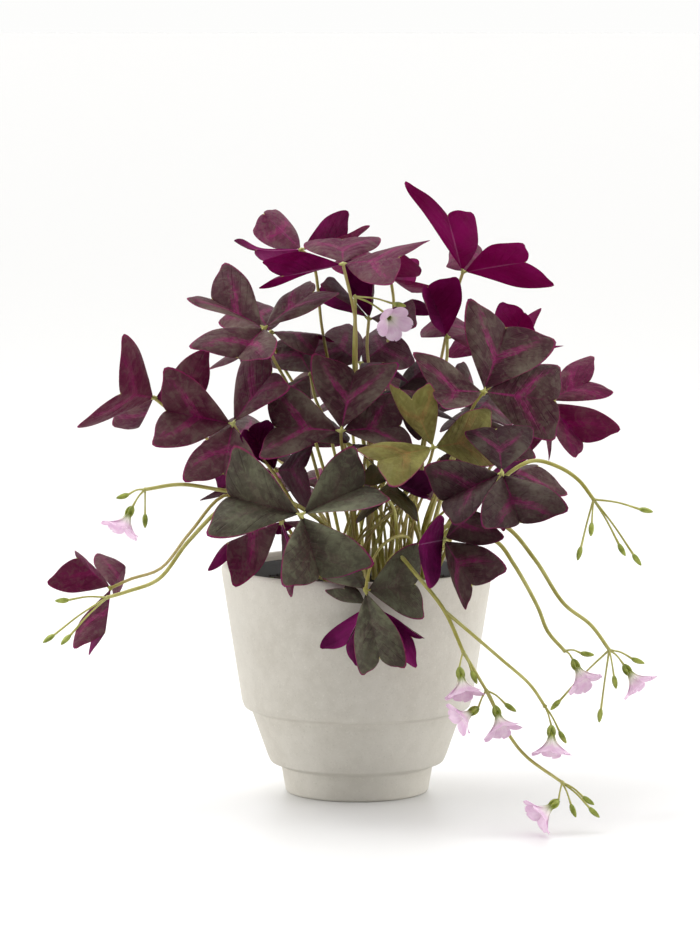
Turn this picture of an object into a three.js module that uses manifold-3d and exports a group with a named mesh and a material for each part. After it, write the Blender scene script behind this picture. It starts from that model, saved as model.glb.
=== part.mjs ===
// Potted purple shamrock (Oxalis): a stepped ceramic pot, its plastic liner, soil, three-leaflet leaves on
// long petioles, and flower stalks with small five-lobed flowers. Millimetres, +Z up, +X to the right,
// the viewer's side is -Y. The origin is the centre of the pot's foot, on the surface it stands on.

import * as THREE from 'three';
import { mergeVertices } from 'three/addons/utils/BufferGeometryUtils.js';
import Module from 'manifold-3d';

const wasm = await Module();
wasm.setup();

// ---------------------------------------------------------------- driving dimensions
const GAP = 0.3; // clear space between pieces that touch
const POT_SIDES = 32;
const LINER_SIDES = 32;
const SOIL_TOP = 105;
const CROWN = [12, -4]; // where the rosette's bulbs sit, off the pot's centre
const CROWN_SPREAD = 30;
const LEAF_THICK = 0.7;
const PETIOLE_R = 0.9;
const SCAPE_R = 0.9;
const BRANCH_R = 0.7;
const PEDICEL_R = 0.5;
const HUB_R = 2.4;
const LEAFLET_SET = 1.1; // each leaflet starts this far out along its midrib, inside the hub's swelling
const TIDY = 0.35; // slivers that a join leaves are merged within this distance
const STEM_FOOT = SOIL_TOP + 0.9; // a leaning stem's lower edge still clears the soil
const NOTCH_REACH = 0.74; // midrib length over side length of a leaflet
const BUD = [[0, 0], [1.1, 1.2], [1.5, 3.4], [0.9, 5.8], [0, 6.8]];
const CALYX = [[0, 0], [1.2, 0.6], [1.8, 2.6], [1.6, 4.6], [0, 4.8]];
const COROLLA = [[0, 0], [1.5, 0.6], [3, 5], [9, 9], [10, 9.8], [2.6, 6.2], [0, 2.4]];
const COROLLA_LOBES = 5;
const LOBE_DEPTH = 0.24; // how far the corolla's edge dips between lobes

// Half sections of the turned pieces, as [radius, height].
const POT_OUTSIDE = [[0, 0], [34.8, 0], [35.8, 1], [38, 13.5], [43.4, 15.6], [44.9, 19], [53, 42],
  [56.4, 43.2], [57.6, 46.5], [67.8, 112], [67.4, 113.6], [66.4, 114]];
const POT_INSIDE = [[63.6, 114], [63, 112], [53.6, 45], [48.6, 41], [41.4, 18], [38.5, 14], [34, 13],
  [31.5, 5], [0, 5]];
const LINER = [[0, 14.4], [37.6, 14.4], [39.4, 16], [60.4, 108], [61.6, 108.6], [61.6, 110.4], [59.2, 110.8],
  [59, 108], [38, 17], [0, 15.6]];
const SOIL = [[0, 16.2], [37.2, 17.4], [57.2, SOIL_TOP - 2], [40, SOIL_TOP], [0, SOIL_TOP]];

const colours = {
  ceramic: [0xc9c5bc, 0.75],
  liner: [0x2b2a29, 0.6],
  soil: [0x1c120e, 0.95],
  leaf: [0x5b2a40, 0.55],
  stalk: [0xa7a552, 0.5],
  petal: [0xe6c6de, 0.5],
};

// ---------------------------------------------------------------- leaves
// A leaf's hub is where its three leaflets meet the petiole. A leaflet is given by its two lobe tips,
// as [right, back, up] from the hub, left tip first when its upper face is looked at with the tips up,
// and by its fold: how far, in degrees, the midrib rises above the plane of the two side edges, or sinks
// below it. A fourth number is its midrib's length over its sides', where that isn't the usual one.
const leaves = {
  crown_left: { hub: [-28, 36, 269], leaflets: [
    [[-33, -20, 4], [-19, -38, -4], -4, 0.8],
    [[-24, 37, 6], [-12, 41, 17], 18],
    [[35, 19, 9], [22, 32, 17], 18],
  ] },
  crown_centre: { hub: [-7, -8, 265], leaflets: [
    [[-39, -28, 5], [-41, 0, -11], -6, 0.68],
    [[42, -5, 13], [23, -38, -7], 4],
    [[-19, 41, 9], [18, 41, 10], 2],
  ] },
  crown_behind: { hub: [17, 49, 254], leaflets: [
    [[27, 22, -8], [14, 36, 6], 20],
    [[-30, 25, 4], [-8, 42, 8], 15],
    [[16, -32, 8], [-14, -32, 8], 20],
  ] },
  crown_right: { hub: [53, 20, 259], leaflets: [
    [[5, -38, 31], [-26, -5, 47], -2, 0.66],
    [[44, -12, -7], [28, -34, 18], 2],
    [[-8, 44, 8], [12, 44, 9], 15],
  ] },
  upper_left: { hub: [-46, -8, 233], leaflets: [
    [[-37, 0, 16], [-20, 27, 32], -14],
    [[20, 33, 23], [37, 0, 16], 0],
    [[3, -44, -10], [-35, -28, -5], -14, 0.68],
  ] },
  upper_left_inner: { hub: [-43, 20, 229], leaflets: [
    [[31, 12, -5], [20, -14, -11], 15],
    [[-28, 26, 4], [2, 40, 10], 15],
    [[-6, -26, -24], [-30, -14, -18], 15],
  ] },
  upper_inner: { hub: [-23, -4, 210], leaflets: [
    [[-26, 34, 8], [0, 42, 10], 15],
    [[17, 14, -2], [14, -18, -12], 20],
    [[-6, -27, -20], [-31, -8, -16], 12],
  ] },
  far_left: { hub: [-101, -2, 198], leaflets: [
    [[-36, -25, -13], [-13, -33, 34], 14, 0.66],
    [[-17, 38, -12], [-22, 30, -18], 15],
    [[26, 15, 23], [22, 15, -14], 15],
  ] },
  mid_left: { hub: [-61, -32, 188], leaflets: [
    [[-38, -20, -9], [-32, -15, 28], -18],
    [[10, 23, 39], [26, -15, 20], -6],
    [[10, -28, -24], [-23, -32, -24], -6],
  ] },
  centre: { hub: [-8, -38, 185], leaflets: [
    [[-39, -12, -11], [-35, 12, 23], -12],
    [[-14, 20, 35], [28, 12, 32], -12, 0.78],
    [[27, 25, 18], [36, 0, -9], -6, 0.8],
  ] },
  centre_low: { hub: [-4, -34, 178], leaflets: [
    [[12, -8, -32], [-18, -14, -28], 15],
    [[30, 24, -10], [34, -14, -14], 15],
    [[-26, 24, 4], [-6, 38, 6], 15],
  ] },
  front_green: { hub: [-27, -82, 149], leaflets: [
    [[-45, -5, -8], [-33, 5, 32], -20, 0.8],
    [[25, 8, 32], [42, -8, 8], -18, 0.78],
    [[34, -18, -21], [-8, -32, -29], -24, 0.7],
  ] },
  front_olive: { hub: [37, -58, 179], leaflets: [
    [[-22, 22, 28], [-1, 8, 30], 10, 0.68],
    [[-20, -38, -12], [-37, -8, 1], 0, 0.8],
    [[29, 28, 17], [32, 15, -9], 0],
  ] },
  right_large: { hub: [62, -34, 204], leaflets: [
    [[-8, 12, 44], [36, 18, 24], -10, 0.78],
    [[-19, -38, -5], [-33, -8, 21], -12, 0.68],
    [[38, 20, 12], [35, 14, -26], 10, 0.8],
  ] },
  right_large_low: { hub: [58, -22, 192], leaflets: [
    [[31, 4, -21], [-1, 4, -27], 15],
    [[-16, 26, 16], [-4, 30, 22], 15],
    [[-4, 40, 2], [22, 34, -6], 15],
  ] },
  lower_right: { hub: [70, -70, 168], leaflets: [
    [[-17, 14, 19], [16, 28, 19], 0, 0.8],
    [[31, -22, -15], [-10, -34, -22], -20, 0.68],
    [[-23, -28, -20], [-37, -10, 4], -16, 0.8],
  ] },
  lower_right_inner: { hub: [66, -14, 162], leaflets: [
    [[17, 10, -4], [18, 22, 6], 15],
    [[26, -12, -12], [4, -20, -26], 20],
    [[-30, 22, -4], [-14, 38, 6], 15],
  ] },
  rim_right: { hub: [42, -74, 136], leaflets: [
    [[-3, -31, 15], [-7, -38, -18], 16, 0.76],
    [[15, 5, 24], [27, -15, 2], 15],
    [[29, -30, -10], [10, -12, -32], 8, 0.78],
  ] },
  rim_front: { hub: [4, -80, 112], leaflets: [
    [[19, -18, -34], [-2, -10, -39], 0, 0.8],
    [[26, 15, 21], [28, 5, -14], -4],
    [[-24, 15, 9], [-4, 26, 12], 12],
  ] },
  rim_front_low: { hub: [5, -74, 104], leaflets: [
    [[-6, -6, -28], [-22, -6, -20], 15],
    [[22, -5, -30], [27, -8, -14], 15],
    [[-20, 3, 6], [-8, 3, 10], 10],
  ] },
  rim_left: { hub: [-37, -52, 142], leaflets: [
    [[-21, -32, -27], [-36, -12, -21], 20],
    [[12, -20, -26], [5, -26, -33], 15],
    [[0, 36, -10], [24, 22, -12], 15],
  ] },
  inner_left: { hub: [-40, -15, 163], leaflets: [
    [[-3, -20, 27], [-17, -30, 19], 20],
    [[-30, 10, -3], [-37, -15, -12], 15],
    [[18, -5, 18], [18, -18, -20], 20],
  ] },
  behind_flower: { hub: [2, 22, 213], leaflets: [
    [[-30, 15, -2], [-5, 36, 18], 15],
    [[8, 38, 16], [28, 25, -2], 15],
    [[24, -26, -6], [2, -36, -6], 15],
  ] },
  under_crown: { hub: [6, 26, 235], leaflets: [
    [[2, -28, 30], [-12, -22, 30], 20],
    [[-22, -25, 19], [-27, 12, 10], 20],
    [[32, 0, 5], [22, -30, -1], 20],
  ] },
  under_crown_right: { hub: [45, 10, 227], leaflets: [
    [[5, -20, 31], [-15, -34, 23], 20],
    [[26, 4, 2], [24, -20, -4], 15],
    [[-14, 36, 2], [14, 38, 2], 15],
  ] },
  back_right_high: { hub: [75, 40, 219], leaflets: [
    [[16, -18, 9], [-4, -30, 25], 20],
    [[30, 25, -3], [18, 30, 18], 20],
    [[-30, 16, -4], [-14, 38, 2], 15],
  ] },
  middle_dark: { hub: [20, 4, 201], leaflets: [
    [[11, 28, 14], [33, 10, 3], 15],
    [[30, -8, -14], [10, -20, -22], 15],
    [[-22, 20, -14], [-6, 32, -12], 15],
  ] },
  far_right: { hub: [94, 10, 195], leaflets: [
    [[25, 30, 21], [34, 10, 4], -2, 0.68],
    [[36, -15, -12], [13, -24, -25], -18, 0.7],
    [[3, -20, -27], [-12, -24, -26], 20],
  ] },
  far_low_left: { hub: [-122, -20, 105], leaflets: [
    [[-30, -15, 4], [-17, 10, 18], 20],
    [[-10, -20, -30], [-17, -28, -24], 20],
    [[-8, 30, 14], [4, 34, -6], 20],
  ] },
  olive_low: { hub: [16, -52, 162], leaflets: [
    [[-14, -18, 2], [-14, -4, 14], 15],
    [[14, -30, -14], [-16, -32, -17], 15],
    [[16, -25, -5], [22, -15, 5], 20],
  ] },
  back_left: { hub: [-45, 50, 172], leaflets: [
    [[-34, 22, -6], [-12, 40, 8], 12],
    [[14, 38, 8], [38, 18, -4], 12],
    [[16, -34, -10], [-20, -32, -12], 12],
  ] },
  back_centre: { hub: [-5, 62, 196], leaflets: [
    [[-34, 22, -6], [-12, 40, 8], 12],
    [[14, 38, 8], [38, 18, -4], 12],
    [[16, -34, -10], [-20, -32, -12], 12],
  ] },
  back_right: { hub: [62, 55, 190], leaflets: [
    [[-34, 22, -6], [-12, 40, 8], 12],
    [[14, 38, 8], [38, 18, -4], 12],
    [[16, -34, -10], [-20, -32, -12], 12],
  ] },
  back_low_left: { hub: [-30, 82, 146], leaflets: [
    [[-34, 22, -12], [-12, 40, 4], 12],
    [[14, 38, 4], [38, 18, -10], 12],
    [[16, -34, -6], [-20, -32, -8], 12],
  ] },
  back_low_right: { hub: [70, 60, 150], leaflets: [
    [[-34, 22, -12], [-12, 40, 4], 12],
    [[14, 38, 4], [38, 18, -10], 12],
    [[16, -34, -6], [-20, -32, -8], 12],
  ] },
};

// Petioles that arch or trail instead of rising straight to their hub pass these points.
const petioleWay = {
  crown_centre: [[8, -12, 160], [0, -14, 210], [-1, -15, 238]],
  rim_front: [[26, -34, 129], [19, -55, 135], [11, -68, 131], [6, -77, 122]],
  rim_front_low: [[2, -50, 122], [4, -68, 116]],
  far_low_left: [[-36, -16, 132], [-64, -42, 154], [-82, -38, 135], [-97, -30, 116], [-112, -24, 110]],
};

// ---------------------------------------------------------------- flower stalks
// A stalk is a set of branches: a branch starts at the last point of the one it names and passes its points.
// Buds and flowers hang from a branch's end on pedicels; a flower faces from its calyx to its mouth.
const stalks = {
  left_high: {
    scape: [[-10, -25, 132], [-40, -46, 154], [-64, -50, 157], [-86, -58, 161], [-103, -62, 159]],
    buds: [[-111, -66, 157], [-103, -64, 147]],
    flowers: { left: [[-109, -66, 151], [-114, -70, 141]] },
  },
  left_low: {
    scape: [[-40, -14, 134], [-62, -52, 151], [-82, -54, 133], [-97, -54, 114], [-112, -54, 108],
      [-122, -54, 105]],
    buds: [[-141, -56, 104], [-148, -58, 87], [-140, -59, 87]],
    flowers: {},
  },
  crown: {
    scape: [[8, -4, 150], [-1, -7, 205], [-1, -9, 238], [-1, -11, 249]],
    buds: [[18, -18, 246]],
    flowers: { crown: [[14, -15, 241], [18, -26, 237]] },
  },
  right_high: {
    scape: [[40, -32, 130], [64, -54, 156], [76, -64, 169], [86, -70, 174], [98, -74, 171], [107, -76, 165],
      [114, -78, 156]],
    buds: [[136, -84, 152], [113, -82, 145], [108, -80, 133], [126, -84, 135], [133, -84, 130]],
    flowers: {},
  },
  right_outer: {
    scape: [[48, -30, 140], [72, -44, 139], [87, -50, 123], [101, -55, 102], [114, -58, 92], [123, -60, 80]],
    buds: [[134, -62, 76], [125, -66, 68], [119, -62, 51], [99, -60, 55]],
    flowers: { right_outer: [[130, -63, 73], [138, -66, 62]] },
  },
  right_inner: {
    scape: [[44, -38, 138], [68, -50, 132], [76, -53, 122], [88, -58, 101], [93, -60, 89], [101, -63, 80]],
    buds: [[109, -64, 79]],
    flowers: { right_inner: [[105, -66, 76], [110, -70, 67]] },
  },
  front: {
    scape: [[16, -44, 122], [21, -68, 127], [28, -77, 120], [42, -86, 103], [51, -94, 84]],
    buds: [[55, -97, 75]],
    flowers: { front_left: [[49, -98, 77], [51, -102, 66]] },
    branches: [
      { from: [42, -86, 103], by: [[69, -96, 81], [83, -100, 69], [90, -102, 59]], buds: [[97, -104, 47]],
        flowers: { front_right: [[93, -105, 50], [93, -108, 40]] } },
      { from: [51, -94, 84], by: [[62, -98, 66]], buds: [[71, -101, 60]],
        flowers: { front_small: [[58, -101, 58], [51, -104, 54]], front_centre: [[66, -102, 59], [69, -106, 50]] } },
      { from: [62, -98, 66], by: [[73, -94, 44], [81, -104, 35], [98, -114, 24]],
        buds: [[102, -118, 14], [108, -114, 17], [111, -116, 12]],
        flowers: { floor: [[96, -118, 16], [89, -121, 11]] } },
    ],
  },
};

// ---------------------------------------------------------------- shapes
const V = (p) => new THREE.Vector3(...p);

function solid(geometry) {
  geometry.deleteAttribute('normal');
  geometry.deleteAttribute('uv');
  const merged = mergeVertices(geometry, 1e-4);
  return new wasm.Manifold(new wasm.Mesh({
    numProp: 3,
    vertProperties: new Float32Array(merged.attributes.position.array),
    triVerts: new Uint32Array(merged.index.array),
  }));
}

function geometryOf(manifold) {
  const { vertProperties, triVerts } = manifold.getMesh();
  const geometry = new THREE.BufferGeometry();
  geometry.setAttribute('position', new THREE.BufferAttribute(vertProperties, 3));
  geometry.setIndex(new THREE.BufferAttribute(triVerts, 1));
  geometry.computeVertexNormals();
  return geometry;
}

function turned(profile, sides) {
  const points = profile.map(([r, z]) => new THREE.Vector2(r, z));
  const geometry = new THREE.LatheGeometry(points, sides);
  geometry.rotateX(Math.PI / 2);
  return geometry;
}

// A round stalk along a smooth curve through the points.
function tube(points, radius, sides, steps) {
  const section = new THREE.Shape();
  for (let i = 0; i < sides; i++) {
    const a = (2 * Math.PI * i) / sides;
    const [x, y] = [radius * Math.cos(a), radius * Math.sin(a)];
    if (i === 0) section.moveTo(x, y);
    else section.lineTo(x, y);
  }
  const path = new THREE.CatmullRomCurve3(points, false, 'centripetal');
  return solid(new THREE.ExtrudeGeometry(section, { steps, bevelEnabled: false, extrudePath: path }));
}

// A small turned shape set at a point, its axis along a direction.
function turnedAlong(profile, sides, at, direction) {
  const geometry = turned(profile, sides);
  geometry.applyQuaternion(new THREE.Quaternion().setFromUnitVectors(V([0, 0, 1]), direction));
  geometry.translate(at.x, at.y, at.z);
  return solid(geometry);
}

// ---------------------------------------------------------------- one leaflet
// Each half is a patch between the midrib and its side edge: the side edge bulges outwards, the far edge
// runs from the rounded lobe tip down to the shallow notch at the midrib's end.
function leaflet(leftTip, rightTip, fold, share = NOTCH_REACH) {
  const [a, b] = [V(leftTip), V(rightTip)];
  const up = b.clone().cross(a).normalize();
  const reach = (share * (a.length() + b.length())) / 2;
  const lift = THREE.MathUtils.degToRad(fold);
  const notch = a.clone().normalize().add(b.clone().normalize()).normalize()
    .multiplyScalar(reach * Math.cos(lift)).addScaledVector(up, reach * Math.sin(lift));
  const rib = notch.clone().normalize();

  function half(tip) {
    const size = tip.length();
    const out = tip.clone().addScaledVector(rib, -tip.dot(rib)).normalize();
    const place = (along, outwards, from) => from.clone()
      .addScaledVector(rib, along * size).addScaledVector(out, outwards * size);
    const side = place(-0.04, 0.1, tip.clone().multiplyScalar(0.6));
    const edge = place(0.05, 0, tip.clone().lerp(notch, 0.5));
    const middle = tip.clone().add(notch).multiplyScalar(0.42).addScaledVector(up, 0.03 * size);
    return { side, edge, middle };
  }
  const [l, r] = [half(a), half(b)];
  const ring = [V([0, 0, 0]), l.side, a, l.edge, notch, r.edge, b, r.side];
  const top = [...ring, l.middle, r.middle];
  const base = top.map((p) => p.clone().addScaledVector(up, -LEAF_THICK));
  const [hub, notchAt, leftMiddle, rightMiddle] = [0, 4, 8, 9];
  const faces = [[hub, notchAt, leftMiddle], [notchAt, hub, rightMiddle]];
  for (let i = 0; i < notchAt; i++) faces.push([i + 1, i, leftMiddle]);
  for (let i = notchAt; i < ring.length; i++) faces.push([(i + 1) % ring.length, i, rightMiddle]);

  const n = top.length;
  const index = [];
  for (const [i, j, k] of faces) index.push(i, j, k, n + k, n + j, n + i);
  for (let i = 0; i < ring.length; i++) {
    const j = (i + 1) % ring.length;
    index.push(i, j, n + j, i, n + j, n + i);
  }
  const geometry = new THREE.BufferGeometry();
  geometry.setAttribute('position', new THREE.BufferAttribute(
    new Float32Array([...top, ...base].flatMap((p) => p.addScaledVector(rib, LEAFLET_SET).toArray())), 3));
  geometry.setIndex(index);
  return solid(geometry);
}

// ---------------------------------------------------------------- stems that keep clear of their neighbours
const placed = []; // every solid that a later stem or blade must miss, with the name of its node

function boxesMeet(p, q) {
  const [a, b] = [p.boundingBox(), q.boundingBox()];
  return [0, 1, 2].every((i) => a.min[i] < b.max[i] && b.min[i] < a.max[i]);
}

function meets(shape, name) {
  return placed.some((other) => other.name !== name && boxesMeet(shape, other.shape)
    && shape.intersect(other.shape).volume() > 0);
}

// Sunflower spots over the crown: each stem rises from the free spot nearest to where it leads.
const SPOTS = 56;
const GOLDEN_ANGLE = Math.PI * (3 - Math.sqrt(5));
const spots = Array.from({ length: SPOTS }, (_, i) => {
  const r = CROWN_SPREAD * Math.sqrt((i + 0.5) / SPOTS);
  return V([CROWN[0] + r * Math.cos(i * GOLDEN_ANGLE), CROWN[1] + r * Math.sin(i * GOLDEN_ANGLE), STEM_FOOT]);
});

function takeSpot(towards) {
  const LEAN = 0.3;
  const aim = V([CROWN[0] + LEAN * (towards.x - CROWN[0]), CROWN[1] + LEAN * (towards.y - CROWN[1]), 0]);
  const away = (p) => Math.hypot(p.x - aim.x, p.y - aim.y);
  const nearest = spots.reduce((best, p) => (away(p) < away(best) ? p : best));
  spots.splice(spots.indexOf(nearest), 1);
  return nearest;
}

// The first free points of a stem above its foot are moved sideways, further each time, until it is clear.
const BOW_TURNS = 12;
const BOWS = [V([0, 0, 0])];
for (let reach = 3; reach <= 30; reach += 3) {
  for (let turn = 0; turn < BOW_TURNS; turn++) {
    const a = (2 * Math.PI * turn) / BOW_TURNS;
    BOWS.push(V([reach * Math.cos(a), reach * Math.sin(a), 0]));
  }
}

function clearTube(points, free, radius, sides, steps, name) {
  for (const bow of BOWS) {
    const bent = points.map((p, i) => (i > 0 && i <= free ? p.clone().add(bow) : p));
    if (!meets(tube(bent, radius + GAP, sides, steps), name)) return tube(bent, radius, sides, steps);
  }
  throw new Error(`no clear way for ${name}`);
}

// ---------------------------------------------------------------- building the nodes
const plant = new THREE.Group();

function addNode(name, geometry, [colour, roughness]) {
  const material = new THREE.MeshStandardMaterial({ color: colour, roughness, metalness: 0 });
  const mesh = new THREE.Mesh(geometry, material);
  mesh.name = name;
  plant.add(mesh);
}

function buildPot() {
  addNode('pot', turned([...POT_OUTSIDE, ...POT_INSIDE], POT_SIDES), colours.ceramic);
  addNode('nursery_pot', turned(LINER, LINER_SIDES), colours.liner);
  addNode('soil', turned(SOIL, LINER_SIDES), colours.soil);
}

// A petiole bends at these shares of its way to the hub, lifted by these shares of its height, and meets
// the hub from below, along the leaf's axis.
const PETIOLE_BENDS = [[0.3, 0.12], [0.66, 0.1]];
const HUB_NECK = 7;

const blades = {};

function growBlades() {
  for (const [name, { hub, leaflets }] of Object.entries(leaves)) {
    const ball = solid(new THREE.OctahedronGeometry(HUB_R)).translate([0, 0, -LEAF_THICK / 2]);
    const parts = leaflets.map((l) => leaflet(...l));
    blades[name] = wasm.Manifold.union([ball, ...parts]).simplify(TIDY).translate(hub);
    placed.push({ name: `leaf_${name}`, shape: blades[name] });
  }
}

function buildLeaves() {
  for (const [name, { hub, leaflets }] of Object.entries(leaves)) {
    const node = `leaf_${name}`;
    const end = V(hub);
    const start = takeSpot(end);
    const axis = leaflets.map(([a, b]) => V(b).cross(V(a)).normalize())
      .reduce((sum, up) => sum.add(up), V([0, 0, 0])).normalize();
    const [rise, middle] = PETIOLE_BENDS.map(([share, lift]) => {
      const bend = start.clone().lerp(end, share);
      bend.z += lift * (end.z - start.z);
      return bend;
    });
    const under = end.clone().addScaledVector(axis, -HUB_NECK).lerp(middle, 0.25);
    const way = (petioleWay[name] ?? []).map(V);
    const points = way.length ? [start, ...way, end] : [start, rise, middle, under, end];
    const petiole = clearTube(points, way.length ? 1 : 2, PETIOLE_R, 4, way.length ? 10 : 7, node);
    placed.push({ name: node, shape: petiole });
    addNode(node, geometryOf(blades[name].add(petiole).simplify(TIDY)), colours.leaf);
  }
}

function pedicel(from, to, drop) {
  const middle = from.clone().lerp(to, 0.5);
  middle.z += drop;
  return tube([from, middle, to], PEDICEL_R, 4, 3);
}

function buildStalks() {
  for (const [name, stalk] of Object.entries(stalks)) {
    const node = `stalk_${name}`;
    const first = V(stalk.scape[0]);
    const scape = [takeSpot(first), ...stalk.scape.map(V)];
    const parts = [clearTube(scape, 1, SCAPE_R, 5, 2 * scape.length, node)];
    const corollas = {};
    const branches = [{ end: scape.at(-1), before: scape.at(-2), ...stalk },
      ...(stalk.branches ?? []).map((b) => ({ ...b, end: V(b.by.at(-1)), before: V(b.from) }))];
    for (const { from, by, end, buds, flowers } of branches) {
      if (from) parts.push(tube([from, ...by].map(V), BRANCH_R, 4, 3 * by.length));
      for (const bud of buds) {
        const at = V(bud);
        const down = at.clone().sub(end).normalize();
        parts.push(pedicel(end, at, 1));
        parts.push(turnedAlong(BUD, 5, at.clone().addScaledVector(down, -0.6), down));
      }
      for (const [flower, [calyx, mouth]] of Object.entries(flowers)) {
        const at = V(calyx);
        const facing = V(mouth).sub(at).normalize();
        parts.push(pedicel(end, at, 1));
        parts.push(turnedAlong(CALYX, 5, at.clone().addScaledVector(facing, -0.6), facing));
        const throat = at.clone().addScaledVector(facing, CALYX.at(-1)[1] - 0.6 + GAP);
        corollas[flower] = corolla(throat, facing);
      }
    }
    const shape = wasm.Manifold.union(parts).simplify(TIDY);
    placed.push({ name: node, shape });
    addNode(node, geometryOf(shape), colours.stalk);
    for (const [flower, geometry] of Object.entries(corollas)) {
      addNode(`flower_${flower}`, geometry, colours.petal);
      placed.push({ name: `flower_${flower}`, shape: solid(geometry.clone()) });
    }
  }
}

// A trumpet-shaped corolla whose rim dips between its lobes.
function corolla(throat, facing) {
  const geometry = turned(COROLLA, 2 * COROLLA_LOBES);
  const position = geometry.attributes.position;
  const rim = COROLLA[4][0];
  for (let i = 0; i < position.count; i++) {
    const [x, y] = [position.getX(i), position.getY(i)];
    const share = Math.hypot(x, y) / rim;
    const dip = Math.sin((COROLLA_LOBES * Math.atan2(y, x)) / 2) ** 2;
    const k = 1 - LOBE_DEPTH * dip * share;
    position.setXY(i, x * k, y * k);
  }
  geometry.applyQuaternion(new THREE.Quaternion().setFromUnitVectors(V([0, 0, 1]), facing));
  geometry.translate(throat.x, throat.y, throat.z);
  geometry.computeVertexNormals();
  return geometry;
}

buildPot();
growBlades();
buildStalks();
buildLeaves();

export default plant;
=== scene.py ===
"""A potted purple shamrock: folded three-part leaves, trailing stalks of small flowers, and a stepped pot.

Lengths in the tables are millimetres: x to the viewer's right, y to the back, z up from the pot's foot.
"""

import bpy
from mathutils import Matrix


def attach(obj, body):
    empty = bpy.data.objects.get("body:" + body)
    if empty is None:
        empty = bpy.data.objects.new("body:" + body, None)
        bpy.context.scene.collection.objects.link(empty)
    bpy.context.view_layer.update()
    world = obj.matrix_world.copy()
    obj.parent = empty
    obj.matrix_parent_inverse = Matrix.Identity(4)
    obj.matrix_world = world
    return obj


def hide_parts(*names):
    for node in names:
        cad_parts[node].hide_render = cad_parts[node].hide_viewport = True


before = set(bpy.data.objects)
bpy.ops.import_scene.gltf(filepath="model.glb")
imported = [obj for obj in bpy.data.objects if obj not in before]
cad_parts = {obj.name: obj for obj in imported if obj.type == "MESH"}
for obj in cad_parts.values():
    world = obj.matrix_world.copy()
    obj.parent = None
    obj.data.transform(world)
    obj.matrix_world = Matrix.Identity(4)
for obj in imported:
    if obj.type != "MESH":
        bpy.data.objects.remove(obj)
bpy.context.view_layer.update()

import math

import bmesh
import bpy
import numpy as np
from mathutils import Vector

MM = 0.001

# ---------------------------------------------------------------- camera
CAMERA_AT = (-3.5, -2400, 430)
CAMERA_PITCH = 6.34  # degrees below level
LENS = 187  # millimetres, on a sensor 36 mm high

camera = bpy.data.objects.new("camera", bpy.data.cameras.new("camera"))
bpy.context.scene.collection.objects.link(camera)
camera.location = [c * MM for c in CAMERA_AT]
camera.rotation_euler = (math.radians(90 - CAMERA_PITCH), 0, 0)
camera.data.sensor_fit = "VERTICAL"
camera.data.sensor_height = 36
camera.data.lens = LENS
camera.data.clip_end = 20
bpy.context.scene.camera = camera
bpy.context.scene.view_settings.view_transform = "Standard"

# ---------------------------------------------------------------- the plant's measures
SOIL_TOP = 105
STEM_FOOT = SOIL_TOP + 0.9
CROWN = (12, -4)
CROWN_SPREAD = 30
CROWN_SPOTS = 56
NOTCH_REACH = 0.74
LEAFLET_SET = 1.1  # a leaflet starts this far out from its hub
BLADE_THICK = 0.34
PEDICEL_R = 0.45

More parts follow.
